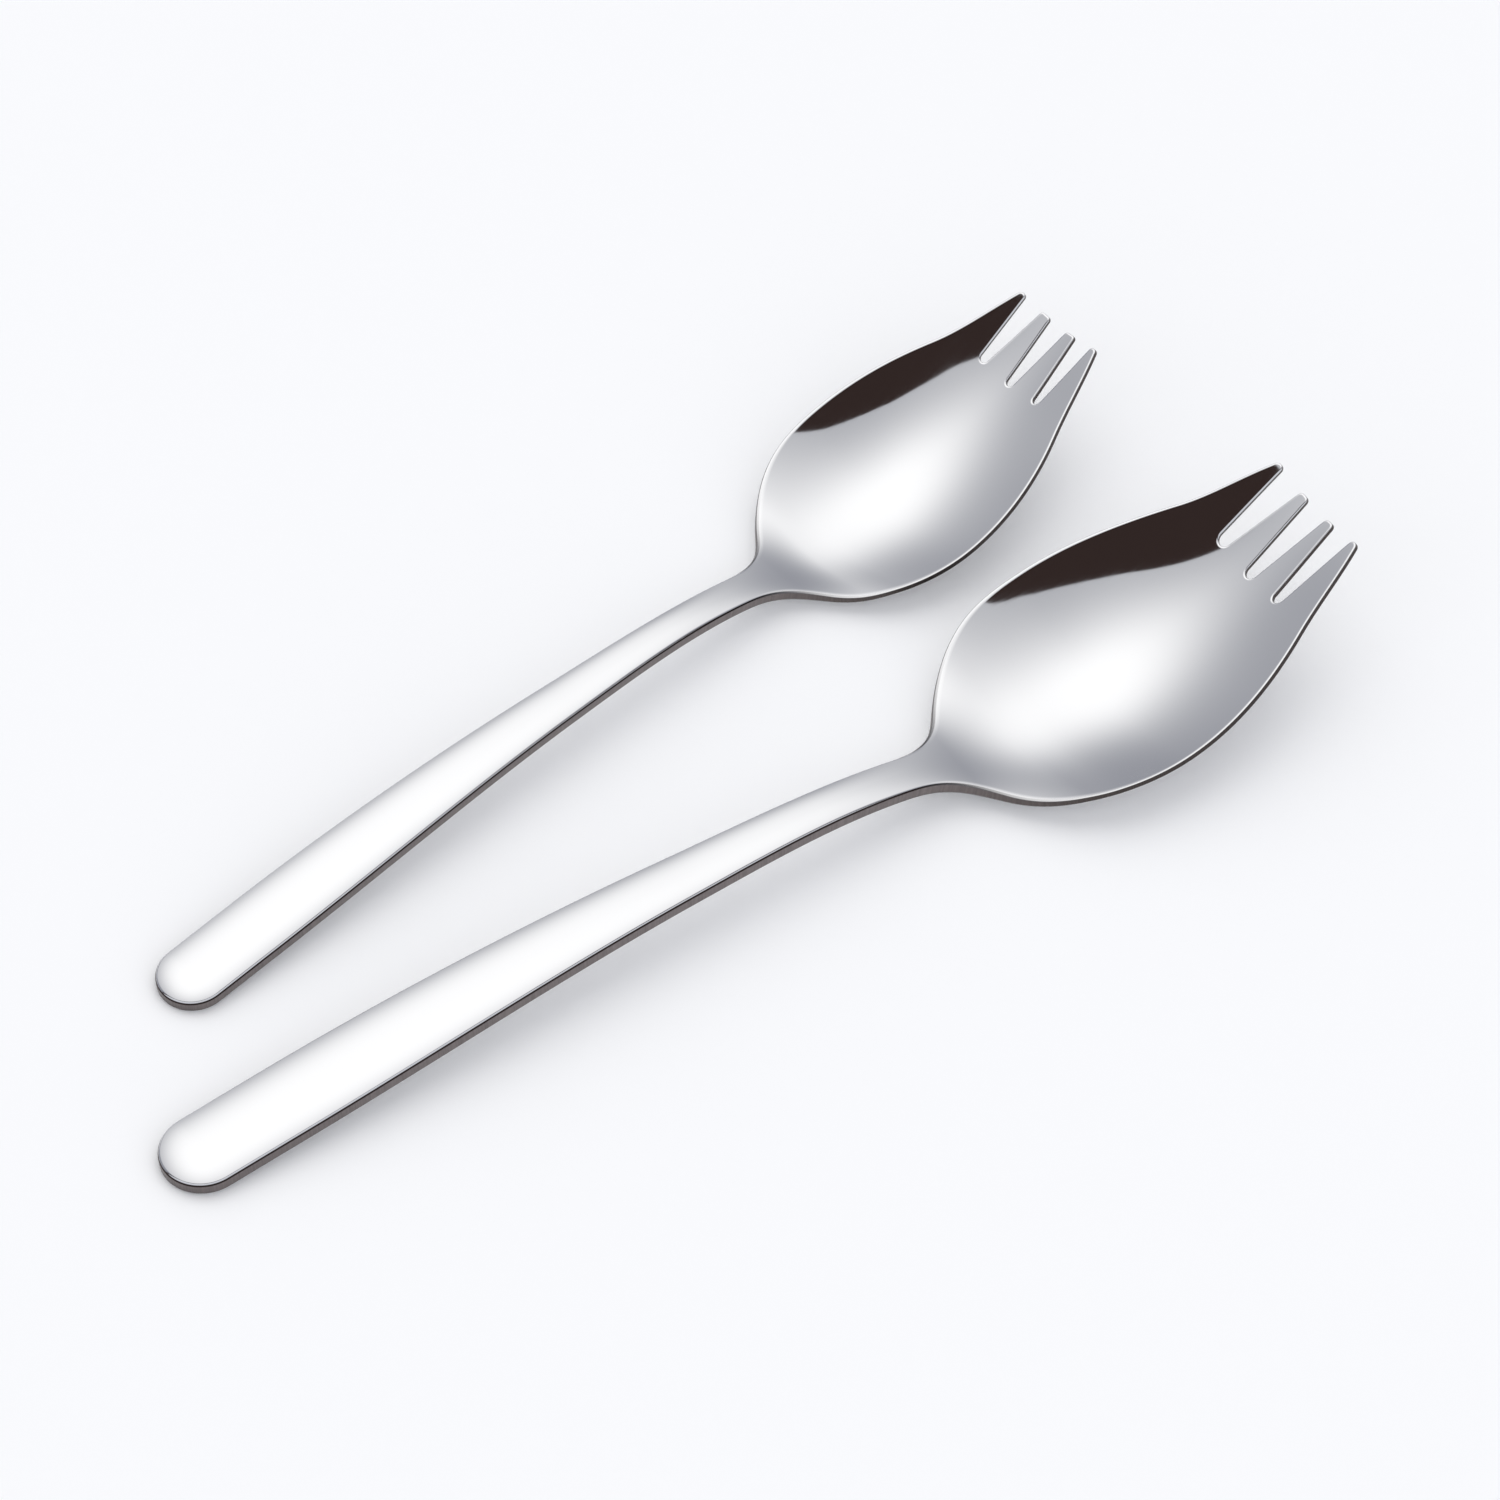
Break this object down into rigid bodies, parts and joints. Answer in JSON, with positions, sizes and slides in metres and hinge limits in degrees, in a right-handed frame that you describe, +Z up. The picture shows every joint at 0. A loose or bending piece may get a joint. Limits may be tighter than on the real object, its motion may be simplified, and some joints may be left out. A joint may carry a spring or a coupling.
{
  "type": "spork pair",
  "caption": "Polished steel sporks of one pattern, a large and a small: arched flat handle, dished spoon bowl and tines cut into the front edge.",
  "frame": {"origin": "the spot on the table where the underside of the large spork's bowl rests", "axes": "+X along the large spork, from its handle's end to its tines; +Y to its left, where the small spork lies; +Z up"},
  "size_m": [0.2004, 0.0884, 0.02],
  "materials": {
    "polished_steel": "mirror polished stainless steel"
  },
  "bodies": {
    "large_spork": {"large_spork": "polished_steel"},
    "small_spork": {"small_spork": "polished_steel"}
  },
  "joints": [
    {"name": "small_spork_lift", "type": "slide", "parent": "large_spork", "child": "small_spork", "axis": [0, 0, 1], "range_m": [0, 0.08]}
  ]
}
